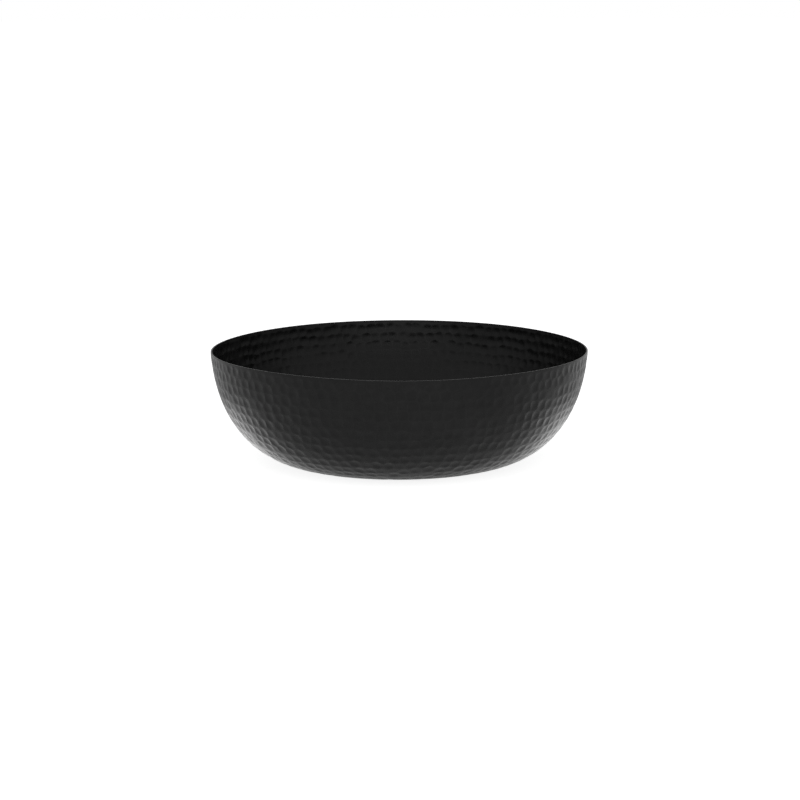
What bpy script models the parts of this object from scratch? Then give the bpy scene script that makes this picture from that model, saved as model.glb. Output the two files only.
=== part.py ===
"""Hammered metal bowl, raised from one disc of sheet and standing on its own flat base.

Metres, +Z up. The origin is at the centre of the base, on the surface that the bowl stands on.
The hammer marks are up to about 0.6 mm deep and are left to the finished surface: this is the
smooth form that they lie on.
"""
import math

import bpy

# Driving dimensions
RIM_RADIUS = 0.150          # axis to the outside of the rim
HEIGHT = 0.0885             # base to the top of the rim
BASE_RADIUS = 0.079         # flat underside
SHEET = 0.0012              # thickness of the metal
RIM_FLARE = 0.0087          # how much of the radius comes from a straight outward lean
WALL_FULLNESS = 2.38        # 2 would be a plain quarter ellipse, more fills the wall out low down

# Resolution of the turned form
STEPS_ROUND = 96
STEPS_UP_WALL = 12
STEPS_OVER_LIP = 4
MERGE_DISTANCE = 0.00005

# Satin black patina
PATINA_COLOUR = (0.014, 0.014, 0.015, 1.0)
PATINA_ROUGHNESS = 0.42


def clear_scene():
    """Remove whatever the scene holds, the default cube included."""
    for old in list(bpy.data.objects):
        bpy.data.objects.remove(old, do_unlink=True)


def outer_point(turn):
    """A point (radius, height) on the outside of the wall, for a turn from 0 at the base to 90 degrees at the rim."""
    lip_centre_height = HEIGHT - SHEET / 2
    rise = 1.0 - math.cos(turn) ** (2.0 / WALL_FULLNESS)
    curved_reach = RIM_RADIUS - RIM_FLARE - BASE_RADIUS
    radius = BASE_RADIUS + curved_reach * math.sin(turn) + RIM_FLARE * rise
    return radius, lip_centre_height * rise


def inward_normal(turn):
    """Unit vector from the outside of the wall to its inside, square to the wall."""
    step = 0.001
    low_radius, low_height = outer_point(max(turn - step, 0.0))
    high_radius, high_height = outer_point(min(turn + step, math.pi / 2))
    along = (high_radius - low_radius, high_height - low_height)
    length = math.hypot(*along)
    return -along[1] / length, along[0] / length


def inner_point(turn):
    """The point on the inside of the wall that is one sheet thickness from outer_point(turn)."""
    radius, height = outer_point(turn)
    normal = inward_normal(turn)
    return radius + SHEET * normal[0], height + SHEET * normal[1]


def lip_points():
    """The half round over the cut edge, from the inside of the wall to its outside, without its ends."""
    inner = inner_point(math.pi / 2)
    outer = outer_point(math.pi / 2)
    centre = ((inner[0] + outer[0]) / 2, (inner[1] + outer[1]) / 2)
    start = math.atan2(inner[1] - centre[1], inner[0] - centre[0])
    angles = [start - math.pi * i / STEPS_OVER_LIP for i in range(1, STEPS_OVER_LIP)]
    return [(centre[0] + SHEET / 2 * math.cos(a), centre[1] + SHEET / 2 * math.sin(a)) for a in angles]


def bowl_profile():
    """Half section: out across the floor, up the inside, over the lip, down the outside, in across the base."""
    turns = [math.pi / 2 * i / STEPS_UP_WALL for i in range(STEPS_UP_WALL + 1)]
    inside = [inner_point(turn) for turn in turns]
    outside = [outer_point(turn) for turn in reversed(turns)]
    return [(0.0, SHEET)] + inside + lip_points() + outside + [(0.0, 0.0)]


def turned_object(name, profile, material, collection):
    """A solid of revolution about Z from a half section in the XZ plane."""
    mesh = bpy.data.meshes.new(name)
    edges = [(i, i + 1) for i in range(len(profile) - 1)]
    mesh.from_pydata([(radius, 0.0, height) for radius, height in profile], edges, [])
    mesh.materials.append(material)
    turned = bpy.data.objects.new(name, mesh)
    collection.objects.link(turned)
    screw = turned.modifiers.new("Turn", "SCREW")
    screw.axis = "Z"
    screw.angle = 2 * math.pi
    screw.steps = STEPS_ROUND
    screw.render_steps = STEPS_ROUND
    screw.use_merge_vertices = True
    screw.merge_threshold = MERGE_DISTANCE
    screw.use_smooth_shade = True
    return turned


def satin_black():
    """Black patina on sheet metal: dark, slightly glossy, no bare metal showing."""
    material = bpy.data.materials.new("satin_black_patina")
    material.use_nodes = True
    shader = material.node_tree.nodes["Principled BSDF"]
    shader.inputs["Base Color"].default_value = PATINA_COLOUR
    shader.inputs["Roughness"].default_value = PATINA_ROUGHNESS
    shader.inputs["Metallic"].default_value = 0.0
    return material


def build():
    clear_scene()
    collection = bpy.data.collections.new("hammered_bowl")
    bpy.context.scene.collection.children.link(collection)
    turned_object("bowl_shell", bowl_profile(), satin_black(), collection)


build()
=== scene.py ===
import math

import bmesh
import bpy
import numpy as np
from mathutils import Euler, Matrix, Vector, geometry


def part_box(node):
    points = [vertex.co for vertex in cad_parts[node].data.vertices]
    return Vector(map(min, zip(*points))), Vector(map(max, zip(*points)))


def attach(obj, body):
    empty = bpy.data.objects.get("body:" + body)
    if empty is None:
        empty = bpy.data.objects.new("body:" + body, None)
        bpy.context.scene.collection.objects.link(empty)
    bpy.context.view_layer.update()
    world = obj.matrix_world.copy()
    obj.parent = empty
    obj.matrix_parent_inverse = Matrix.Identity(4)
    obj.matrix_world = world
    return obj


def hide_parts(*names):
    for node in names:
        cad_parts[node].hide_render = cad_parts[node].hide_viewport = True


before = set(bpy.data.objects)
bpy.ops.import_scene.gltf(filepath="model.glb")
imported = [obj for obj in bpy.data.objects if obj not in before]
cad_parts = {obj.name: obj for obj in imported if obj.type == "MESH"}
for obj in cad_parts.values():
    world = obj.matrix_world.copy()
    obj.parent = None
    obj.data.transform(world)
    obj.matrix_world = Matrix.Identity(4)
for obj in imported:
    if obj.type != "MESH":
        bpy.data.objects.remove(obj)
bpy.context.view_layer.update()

LOW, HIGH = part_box("bowl_shell")

# The smooth form, as the CAD part makes it
RIM_RADIUS = (HIGH.x - LOW.x) / 2
HEIGHT = HIGH.z - LOW.z
SHEET = 0.0012
BASE_RADIUS = 0.079
RIM_FLARE = 0.0087
WALL_FULLNESS = 2.38

# Hammer marks. Each is a shallow dish left by a domed hammer face.
MARK_DEPTH_SPREAD = 0.25        # of the depth, one standard deviation
MARK_WANDER = 0.00070           # how far a blow lands from its place in the row
ROW_WAVE = 0.0006               # how far a row strays up and down round the bowl
OUTSIDE_MARKS = {"pitch": 0.0086, "row_step": 0.0081, "first_row": 0.0038, "plain_band": 0.0022,
                 "dome_radius": 0.0175, "depth": 0.00050, "row_stretch": 1.0, "low_on_right": 0.0009,
                 "raise": 0.00020}
INSIDE_MARKS = {"pitch": 0.0079, "row_step": 0.0078, "first_row": 0.0056, "plain_band": 0.0036,
                "dome_radius": 0.0270, "depth": 0.00034, "row_stretch": 1.22, "low_on_right": 0.0,
                "raise": 0.00012}
UNDERSIDE_PITCH_FACTOR = 1.8    # the marks under the base are this much further apart
RAISE_FADE = 0.02               # how far up from the base's edge the raise comes in, outside
LOW_ON_RIGHT_REACH = 0.02       # how fast the rows' drop on the right dies away below the rim
SPACING_SPREAD = 0.25           # of half a mark, how unevenly each row starts after the last
ROW_STEP_SPREAD = 0.03          # of the step between rows
DEPTH_LIMITS = (0.45, 1.25)     # of the depth, the shallowest and the deepest mark

# What the hand leaves in the form: (waves round the bowl, size, phase)
RIM_LIFT = 0.00027
RIM_LIFTS = ((1, 0.00042, -2.20), (2, 0.00033, 2.40), (3, 0.00033, -1.34), (4, 0.00020, -3.07))
RIM_SWELL = ((2, 0.00030, 0.6), (3, 0.00020, 2.1), (7, 0.00010, 0.0))

# Mesh
RIM_SITES = 96                  # mesh cells round the rim
MARK_BANDS = (0.0, 0.5, 0.84, 1.0)   # mesh rings within a mark, from its middle to its ridge
LIP_SEGMENTS = 10
LIP_SQUARENESS = 0.2            # 1 would be a half round
LIP_HEIGHT = 0.00045            # the level top of the cut edge over the middle of its two sides
SEED = 11

# Black patina
TONE = (0.0042, 0.0068)         # base colour, in the dull patches and in the clear ones
WORN_TONE = 0.0035              # added where a ridge is rubbed
ROUGHNESS = (0.25, 0.33)
WORN_GLOSS = 0.06               # taken off the roughness where a ridge is rubbed
SPECULAR_LEVEL = 0.25
TURNING_LINES = (12.0, 12.0, 1400.0)   # noise scale along each axis: long round the rim, fine up and down

# Camera
LENS = 118.4
AIM = (0.0006, 0.0, 0.53)       # metres, but the last is a share of the height
ELEVATION = 10.45               # degrees
ROLL = -0.235                   # degrees
DISTANCE = 2.107

# Light levels of the studio, as the bowl sees them. The floor's depend on where it is, because the bowl
# reflects it most near its own foot; the camera sees the floor evenly white.
LIGHT_FRONT = 0.78              # the camera's half of the sky
LIGHT_BACK = 0.08
LIGHT_BACK_HIGH = 0.45          # the back half, high up
LIGHT_LOW = 0.36                # all round, low down
LIGHT_LOW_FRONT = 0.32
LIGHT_LOW_FACING = 0.70         # straight at the bowl from the camera's side
LIGHT_LOW_BEHIND = 0.34         # what the level edge of the rim reflects
FLOOR_GLOW_UNDER = 0.20
FLOOR_GLOW_FRONT = 0.36         # close to the foot of the bowl, on the camera's side
FLOOR_GLOW_BACK = 1.9           # close to the foot, at the sides and behind
FLOOR_GLOW_FAR = 0.27
FLOOR_GLOW_SEEN = 0.85          # what the camera sees


def smoothstep(x):
    x = np.clip(x, 0.0, 1.0)
    return x * x * (3.0 - 2.0 * x)


class Side:
    """One face of the sheet, outside or inside, measured by the distance along it from the axis (arc).

    plan is a radius in a flat picture of the face that keeps angles, so that marks which are evenly
    spread on the bowl are evenly spread in the picture too.
    """

    STEPS = 4000

    def __init__(self, offset, row_stretch):
        turn = np.linspace(0.0, math.pi / 2, self.STEPS)
        radius, height = wall(turn)
        along_r, along_z = np.gradient(radius), np.gradient(height)
        length = np.hypot(along_r, along_z)
        normal_r, normal_z = -along_z / length, along_r / length
        base = np.linspace(0.0, BASE_RADIUS, 200, endpoint=False)
        self.radius = np.concatenate([base, radius + offset * normal_r])
        self.height = np.concatenate([np.full(base.size, offset), height + offset * normal_z])
        self.normal_r = np.concatenate([np.zeros(base.size), normal_r])
        self.normal_z = np.concatenate([np.ones(base.size), normal_z])
        steps = np.hypot(np.diff(self.radius), np.diff(self.height))
        self.arc = np.concatenate([[0.0], np.cumsum(steps)])
        middle_radius = np.maximum((self.radius[1:] + self.radius[:-1]) / 2, 1e-6)
        growth = np.concatenate([[0.0], np.cumsum((row_stretch * steps / middle_radius)[1:])])
        self.plan = np.concatenate([[0.0], self.radius[1] * np.exp(growth)])
        self.length = self.arc[-1]
        self.into_metal = 1.0 if offset == 0.0 else -1.0

    def at_plan(self, plan, values):
        return np.interp(plan, self.plan, values)

    def at_arc(self, arc, values):
        return np.interp(arc, self.arc, values)

    def place(self, plan, angle, depth):
        """Points on the face, sunk by depth into the metal."""
        sink = depth * self.into_metal
        radius = self.at_plan(plan, self.radius) + sink * self.at_plan(plan, self.normal_r)
        height = self.at_plan(plan, self.height) + sink * self.at_plan(plan, self.normal_z)
        return np.stack([radius * np.cos(angle), radius * np.sin(angle), height], axis=1)


def wall(turn):
    """The outside of the wall, for a turn from 0 at the base's edge to 90 degrees at the rim."""
    rise = 1.0 - np.maximum(np.cos(turn), 0.0) ** (2.0 / WALL_FULLNESS)
    curved_reach = RIM_RADIUS - RIM_FLARE - BASE_RADIUS
    return BASE_RADIUS + curved_reach * np.sin(turn) + RIM_FLARE * rise, (HEIGHT - SHEET / 2) * rise


def mark_centres(side, marks, underside, rng):
    """Hammer marks in rings from the rim to the middle: their arc, angle and depth."""
    arcs, angles = [], []
    arc = side.length - marks["first_row"]
    phase = 0.0
    while arc > marks["row_step"] * 0.6:
        broad = UNDERSIDE_PITCH_FACTOR if underside and arc < BASE_RADIUS else 1.0
        radius = side.at_arc(arc, side.radius)
        count = max(3, round(2 * math.pi * radius / (marks["pitch"] * broad)))
        phase += math.pi / count * rng.normal(1.0, SPACING_SPREAD)
        place = np.arange(count) * 2 * math.pi / count + phase
        wave = sum(rng.normal(0.0, ROW_WAVE / 2) * np.sin(k * place + rng.uniform(0, 2 * math.pi))
                   for k in (2, 3, 5))
        nearness = math.exp(-(side.length - arc) / LOW_ON_RIGHT_REACH)
        lower = marks["low_on_right"] * nearness * (1.0 + np.cos(place))
        arcs.append(arc + wave - lower + rng.normal(0.0, MARK_WANDER, count))
        angles.append(place + rng.normal(0.0, MARK_WANDER, count) / radius)
        arc -= marks["row_step"] * broad * rng.normal(1.0, ROW_STEP_SPREAD)
    arcs = np.clip(np.concatenate(arcs), 0.0, side.length - marks["first_row"] * 0.4)
    angles = np.concatenate(angles)
    depths = marks["depth"] * np.clip(rng.normal(1.0, MARK_DEPTH_SPREAD, arcs.size), *DEPTH_LIMITS)
    return arcs, angles, depths


def circumcentres(a, b, c):
    """Centres of the circles through three points each, the corners where three marks meet."""
    d = 2 * (a[:, 0] * (b[:, 1] - c[:, 1]) + b[:, 0] * (c[:, 1] - a[:, 1]) + c[:, 0] * (a[:, 1] - b[:, 1]))
    aa, bb, cc = (a ** 2).sum(1), (b ** 2).sum(1), (c ** 2).sum(1)
    x = (aa * (b[:, 1] - c[:, 1]) + bb * (c[:, 1] - a[:, 1]) + cc * (a[:, 1] - b[:, 1])) / d
    y = (aa * (c[:, 0] - b[:, 0]) + bb * (a[:, 0] - c[:, 0]) + cc * (b[:, 0] - a[:, 0])) / d
    return np.stack([x, y], axis=1)


def cells(sites, rim_plan):
    """The cells round the sites, as triangles (site, corner, corner) with the four sites nearest to each.

    A row of the first result holds six numbers: the site's, the first corner's and the second corner's
    place in the flat picture. The second result names the sites whose marks can reach the triangle.
    """
    result = geometry.delaunay_2d_cdt([Vector(p) for p in sites], [], [], 0, 1e-9)
    triangles, given = result[2], result[3]
    rename = np.array([same[0] for same in given])
    triangles = rename[np.array([list(t) for t in triangles])]
    corners = circumcentres(sites[triangles[:, 0]], sites[triangles[:, 1]], sites[triangles[:, 2]])
    reach = np.hypot(corners[:, 0], corners[:, 1])
    corners *= np.minimum(1.0, rim_plan * 0.9985 / reach)[:, None]
    edges = {}
    for index, triangle in enumerate(triangles):
        for k in range(3):
            pair = tuple(sorted((triangle[k], triangle[(k + 1) % 3])))
            edges.setdefault(pair, []).append((index, triangle[(k + 2) % 3]))
    fans, near = [], []
    for (first, second), faces in edges.items():
        start = corners[faces[0][0]]
        if len(faces) == 2:
            end, far = corners[faces[1][0]], faces[1][1]
        else:
            end, far = (sites[first] + sites[second]) / 2, faces[0][1]
        for site in (first, second):
            fans.append(np.concatenate([sites[site], start, end]))
            near.append((first, second, faces[0][1], far))
    return np.array(fans), np.array(near)


def split_fans(fans):
    """Each cell triangle cut into bands: points in the picture, faces, and how far out each point is."""
    site, start, end = fans[:, 0:2], fans[:, 2:4], fans[:, 4:6]
    points, shares, index = [], [], {}
    for band, share in enumerate(MARK_BANDS):
        for step in range(band + 1):
            across = step / band if band else 0.0
            ridge = start + (end - start) * across
            points.append(site + (ridge - site) * share)
            shares.append(share)
            index[band, step] = len(points) - 1
    faces = []
    for band in range(len(MARK_BANDS) - 1):
        for step in range(band + 1):
            faces.append((index[band, step], index[band + 1, step], index[band + 1, step + 1]))
            if step < band:
                faces.append((index[band, step], index[band + 1, step + 1], index[band, step + 1]))
    return np.stack(points, axis=1), np.array(faces), np.array(shares)


def hammered_face(side, marks, underside, rng):
    """One face of the sheet: its points, its triangles, each point's nearness to a ridge and to the rim,
    and the loop of points at the rim."""
    arcs, angles, depths = mark_centres(side, marks, underside, rng)
    plans = side.at_arc(arcs, side.plan)
    rim_plan = side.plan[-1]
    rim_angles = np.arange(RIM_SITES) * 2 * math.pi / RIM_SITES
    sites = np.concatenate([
        np.stack([plans * np.cos(angles), plans * np.sin(angles)], axis=1),
        np.stack([rim_plan * np.cos(rim_angles), rim_plan * np.sin(rim_angles)], axis=1),
    ])
    scale = BASE_RADIUS                       # keeps the numbers near 1 for the triangulation
    sites = sites / scale
    depths = np.concatenate([depths, np.full(RIM_SITES, -1.0)])
    fans, near = cells(sites, rim_plan / scale)
    points, faces, shares = split_fans(fans)
    plan = np.hypot(points[..., 0], points[..., 1])
    plan_m = plan * scale
    spread = side.at_plan(plan_m, side.radius) / np.maximum(plan, 1e-9)
    sunk = np.full(plan.shape, -1.0)
    for column in range(near.shape[1]):
        centre = sites[near[:, column]][:, None, :]
        distance = np.hypot(*(points - centre).transpose(2, 0, 1)) * spread
        dish = depths[near[:, column]][:, None] - distance ** 2 / (2 * marks["dome_radius"])
        sunk = np.maximum(sunk, dish)
    flat_points = points.reshape(-1, 2)
    keys, first, back = np.unique(np.round(flat_points * 1e6).astype(np.int64), axis=0,
                                  return_index=True, return_inverse=True)
    back = back.reshape(-1)
    depth = np.full(len(keys), -1.0)
    np.maximum.at(depth, back, sunk.reshape(-1))
    share = np.zeros(len(keys))
    np.maximum.at(share, back, np.broadcast_to(shares, plan.shape).reshape(-1))
    place = flat_points[first]
    count = points.shape[1]
    triangles = (np.arange(len(fans)) * count)[:, None, None] + faces[None]
    triangles = back[triangles.reshape(-1, 3)]
    first_corner, second_corner, third_corner = triangles.T
    keep = (first_corner != second_corner) & (second_corner != third_corner) & (third_corner != first_corner)
    triangles = triangles[keep]
    loop = rim_loop(triangles, place)
    plan = np.hypot(place[:, 0], place[:, 1]) * scale
    plan[loop] = rim_plan
    angle = np.arctan2(place[:, 1], place[:, 0])
    below_rim = side.length - side.at_plan(plan, side.arc)
    fade = smoothstep(below_rim / marks["plain_band"])
    raised = marks["raise"]
    if underside:
        raised = raised * smoothstep((side.at_plan(plan, side.arc) - BASE_RADIUS) / RAISE_FADE)
    depth = (np.maximum(depth, 0.0) - raised) * fade
    near_rim = 1.0 - smoothstep(below_rim / (marks["plain_band"] * 2.5))
    return side.place(plan, angle, depth), triangles, (share * fade, near_rim), loop


def rim_loop(triangles, place):
    """The open edge's vertices, in order round the rim."""
    edges = np.concatenate([triangles[:, [0, 1]], triangles[:, [1, 2]], triangles[:, [2, 0]]])
    edges = np.sort(edges, axis=1)
    pairs, uses = np.unique(edges, axis=0, return_counts=True)
    open_vertices = np.unique(pairs[uses == 1])
    angles = np.arctan2(place[open_vertices, 1], place[open_vertices, 0]) % (2 * math.pi)
    angles[angles > 2 * math.pi - 1e-6] = 0.0
    return open_vertices[np.argsort(angles)]


def hand_made(points):
    """The slight unevenness of a bowl raised by hand, nothing at the base and most at the rim."""
    angle = np.arctan2(points[:, 1], points[:, 0])
    up = np.clip(points[:, 2] / HEIGHT, 0.0, 1.0)
    swell = up * sum(size * np.sin(waves * angle + phase) for waves, size, phase in RIM_SWELL)
    uneven = sum(size * np.cos(waves * angle - phase) for waves, size, phase in RIM_LIFTS)
    lift = up ** 3 * (RIM_LIFT + uneven)
    radius = np.maximum(np.hypot(points[:, 0], points[:, 1]), 1e-9)
    shifted = points.copy()
    shifted[:, 0] += points[:, 0] / radius * swell
    shifted[:, 1] += points[:, 1] / radius * swell
    shifted[:, 2] += lift
    return shifted


def bowl_mesh():
    """The whole sheet as one closed mesh, with attributes that tell the material where ridges and rim are."""
    rng = np.random.default_rng(SEED)
    outside = Side(0.0, OUTSIDE_MARKS["row_stretch"])
    inside = Side(SHEET, INSIDE_MARKS["row_stretch"])
    out_points, out_faces, out_wear, out_loop = hammered_face(outside, OUTSIDE_MARKS, True, rng)
    in_points, in_faces, in_wear, in_loop = hammered_face(inside, INSIDE_MARKS, False, rng)
    shift = len(out_points)
    rings = [out_loop]
    lip_points = []
    start, end = out_points[out_loop], in_points[in_loop]
    centre, half = (start + end) / 2, (start - end) / 2
    level_top = centre[:, 2] + LIP_HEIGHT
    for step in range(1, LIP_SEGMENTS):
        turn = math.pi * step / LIP_SEGMENTS
        across = math.copysign(abs(math.cos(turn)) ** LIP_SQUARENESS, math.cos(turn))
        ring = centre + half * across
        ring[:, 2] += (level_top - ring[:, 2]) * math.sin(turn) ** LIP_SQUARENESS
        lip_points.append(ring)
        rings.append(np.arange(len(out_loop)) + shift + len(in_points) + (step - 1) * len(out_loop))
    rings.append(in_loop + shift)
    faces = [tuple(int(v) for v in f) for f in out_faces]
    faces += [tuple(int(v) + shift for v in f) for f in in_faces]
    for lower, upper in zip(rings, rings[1:]):
        for k in range(len(lower)):
            after = (k + 1) % len(lower)
            faces.append((int(lower[k]), int(lower[after]), int(upper[after]), int(upper[k])))
    points = hand_made(np.concatenate([out_points, in_points] + lip_points))
    mesh = bpy.data.meshes.new("hammered_bowl")
    mesh.from_pydata(points.tolist(), [], faces)
    lip_wear = np.ones(len(out_loop) * (LIP_SEGMENTS - 1))
    for index, name in enumerate(("ridge", "rim")):
        values = np.concatenate([out_wear[index], in_wear[index], lip_wear])
        attribute = mesh.attributes.new(name, "FLOAT", "POINT")
        attribute.data.foreach_set("value", values.astype(np.float32))
    face_outwards(mesh)
    mesh.shade_smooth()
    return mesh


def face_outwards(mesh):
    """Turn every face of the closed sheet outwards."""
    work = bmesh.new()
    work.from_mesh(mesh)
    bmesh.ops.recalc_face_normals(work, faces=work.faces)
    work.to_mesh(mesh)
    work.free()


class Graph:
    """Short ways to add nodes to a material or world."""

    def __init__(self, tree):
        self.tree = tree

    def add(self, kind, inputs=None, **settings):
        node = self.tree.nodes.new(kind)
        for name, value in settings.items():
            setattr(node, name, value)
        for name, value in (inputs or {}).items():
            self.feed(node.inputs[name], value)
        return node

    def feed(self, socket, value):
        if isinstance(value, bpy.types.NodeSocket):
            self.tree.links.new(value, socket)
        else:
            socket.default_value = value

    def maths(self, operation, first, second):
        return self.add("ShaderNodeMath", {0: first, 1: second}, operation=operation).outputs[0]

    def ramp(self, value, low, high, to_low, to_high, smooth=True):
        kind = "SMOOTHSTEP" if smooth else "LINEAR"
        inputs = {"Value": value, "From Min": low, "From Max": high, "To Min": to_low, "To Max": to_high}
        return self.add("ShaderNodeMapRange", inputs, interpolation_type=kind).outputs["Result"]

    def noise(self, vector, scale, detail=3.0, roughness=0.55):
        inputs = {"Vector": vector, "Scale": scale, "Detail": detail, "Roughness": roughness}
        return self.add("ShaderNodeTexNoise", inputs).outputs["Fac"]


def black_patina():
    """Satin black over hammered metal: a fine dry grain, duller patches, ridges rubbed smoother and paler,
    and faint turning lines in the plain band under the rim."""
    material = bpy.data.materials.new("black_patina")
    material.use_nodes = True
    graph = Graph(material.node_tree)
    shader = material.node_tree.nodes["Principled BSDF"]
    place = graph.add("ShaderNodeTexCoord").outputs["Object"]
    ridge = graph.add("ShaderNodeAttribute", attribute_name="ridge").outputs["Fac"]
    rim = graph.add("ShaderNodeAttribute", attribute_name="rim").outputs["Fac"]

    patches = graph.noise(place, 16.0, 4.0)
    mottle = graph.noise(place, 140.0, 3.0)
    grain = graph.noise(place, 1500.0, 2.0)
    rubbed = graph.ramp(ridge, 0.80, 1.0, 0.0, 1.0)
    uneven = graph.ramp(patches, 0.35, 0.65, 0.35, 1.0)
    worn = graph.maths("MULTIPLY", rubbed, uneven)

    tone = graph.ramp(patches, 0.3, 0.7, *TONE)
    tone = graph.maths("MULTIPLY", tone, graph.ramp(mottle, 0.3, 0.7, 0.75, 1.25))
    tone = graph.maths("ADD", tone, graph.maths("MULTIPLY", worn, WORN_TONE))
    colour = graph.add("ShaderNodeCombineColor", {"Red": tone, "Green": tone, "Blue": tone})
    graph.feed(shader.inputs["Base Color"], colour.outputs[0])

    rough = graph.ramp(patches, 0.3, 0.7, *ROUGHNESS)
    rough = graph.maths("ADD", rough, graph.ramp(mottle, 0.3, 0.7, -0.02, 0.02))
    rough = graph.maths("SUBTRACT", rough, graph.maths("MULTIPLY", worn, WORN_GLOSS))
    graph.feed(shader.inputs["Roughness"], rough)
    shader.inputs["Metallic"].default_value = 0.0
    shader.inputs["Specular IOR Level"].default_value = SPECULAR_LEVEL

    stretched = {0: place, 1: TURNING_LINES}
    flat = graph.add("ShaderNodeVectorMath", stretched, operation="MULTIPLY").outputs[0]
    lines = graph.noise(flat, 1.0, 2.0)
    lines = graph.maths("MULTIPLY", lines, rim)
    grain_bump = graph.add("ShaderNodeBump", {"Strength": 0.35, "Distance": 0.00004, "Height": grain})
    line_bump = graph.add("ShaderNodeBump", {"Strength": 0.5, "Distance": 0.00005, "Height": lines,
                                             "Normal": grain_bump.outputs[0]})
    mottle_bump = graph.add("ShaderNodeBump", {"Strength": 0.5, "Distance": 0.00012, "Height": mottle,
                                               "Normal": line_bump.outputs[0]})
    graph.feed(shader.inputs["Normal"], mottle_bump.outputs[0])
    return material


def studio():
    """White floor and a wide soft light from the camera's side, low and all round it, dim behind."""
    bpy.ops.mesh.primitive_circle_add(vertices=96, radius=9.0, fill_type="NGON", location=(0, 0, 0))
    floor = bpy.context.object
    floor.name = "studio_floor"
    material = bpy.data.materials.new("floor_white")
    material.use_nodes = True
    graph = Graph(material.node_tree)
    shader = material.node_tree.nodes["Principled BSDF"]
    shader.inputs["Base Color"].default_value = (0.9, 0.9, 0.9, 1)
    shader.inputs["Roughness"].default_value = 0.9
    shader.inputs["Specular IOR Level"].default_value = 0.0
    shader.inputs["Emission Color"].default_value = (1, 1, 1, 1)
    seen = graph.add("ShaderNodeLightPath").outputs["Is Camera Ray"]
    place = graph.add("ShaderNodeTexCoord").outputs["Object"]
    away = graph.add("ShaderNodeVectorMath", {0: place}, operation="LENGTH").outputs["Value"]
    back = graph.add("ShaderNodeSeparateXYZ", {0: place}).outputs["Y"]
    near = graph.ramp(back, -0.10, 0.02, FLOOR_GLOW_FRONT, FLOOR_GLOW_BACK)
    near = graph.ramp(away, 0.070, 0.085, FLOOR_GLOW_UNDER, near)
    glow = graph.ramp(away, 0.095, 0.27, near, FLOOR_GLOW_FAR)
    graph.feed(shader.inputs["Emission Strength"], graph.ramp(seen, 0.0, 1.0, glow, FLOOR_GLOW_SEEN))
    floor.data.materials.append(material)

    world = bpy.data.worlds.new("studio")
    bpy.context.scene.world = world
    world.use_nodes = True
    world.node_tree.nodes.clear()
    graph = Graph(world.node_tree)
    direction = graph.add("ShaderNodeTexCoord").outputs["Generated"]
    split = graph.add("ShaderNodeSeparateXYZ", {0: direction}).outputs
    up = split["Z"]
    front = graph.ramp(split["Y"], 0.5, -0.5, 0.0, 1.0)
    facing = graph.ramp(split["Y"], -0.7, -1.0, 0.0, 1.0)
    behind = graph.ramp(split["Y"], 0.75, 0.95, 0.0, 1.0)
    high = graph.ramp(up, 0.12, 0.38, 0.0, 1.0)
    overhead = graph.ramp(up, 0.35, 0.80, LIGHT_BACK, LIGHT_BACK_HIGH)
    above = graph.ramp(front, 0.0, 1.0, overhead, LIGHT_FRONT, smooth=False)
    level = graph.maths("ADD", graph.maths("MULTIPLY", front, LIGHT_LOW_FRONT), LIGHT_LOW)
    level = graph.maths("ADD", graph.maths("MULTIPLY", facing, LIGHT_LOW_FACING), level)
    level = graph.maths("ADD", graph.maths("MULTIPLY", behind, LIGHT_LOW_BEHIND), level)
    mixed = graph.add("ShaderNodeMix", {"Factor": high, "A": level, "B": above}, data_type="FLOAT").outputs[0]
    lit = graph.add("ShaderNodeBackground", {"Strength": mixed}).outputs[0]
    white = graph.add("ShaderNodeBackground", {"Color": (1, 1, 1, 1)}).outputs[0]
    seen = graph.add("ShaderNodeLightPath").outputs["Is Camera Ray"]
    shown = graph.add("ShaderNodeMixShader", {0: seen, 1: lit, 2: white}).outputs[0]
    graph.add("ShaderNodeOutputWorld", {0: shown})
    bpy.context.scene.view_settings.view_transform = "Standard"


def camera():
    """A long lens from the front, a little above the rim, level but for a slight roll."""
    data = bpy.data.cameras.new("camera")
    data.lens = LENS
    data.sensor_width = 36.0
    data.clip_end = 50.0
    eye = bpy.data.objects.new("camera", data)
    aim = Vector((AIM[0], AIM[1], AIM[2] * HEIGHT))
    elevation = math.radians(ELEVATION)
    eye.location = aim + DISTANCE * Vector((0.0, -math.cos(elevation), math.sin(elevation)))
    look = (aim - eye.location).to_track_quat("-Z", "Y")
    roll = Euler((0.0, 0.0, math.radians(ROLL))).to_quaternion()
    eye.rotation_euler = (look @ roll).to_euler()
    bpy.context.scene.collection.objects.link(eye)
    bpy.context.scene.camera = eye


bowl = bpy.data.objects.new("hammered_bowl", bowl_mesh())
bpy.context.scene.collection.objects.link(bowl)
bowl.data.materials.append(black_patina())
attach(bowl, "root")
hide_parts("bowl_shell")
studio()
camera()
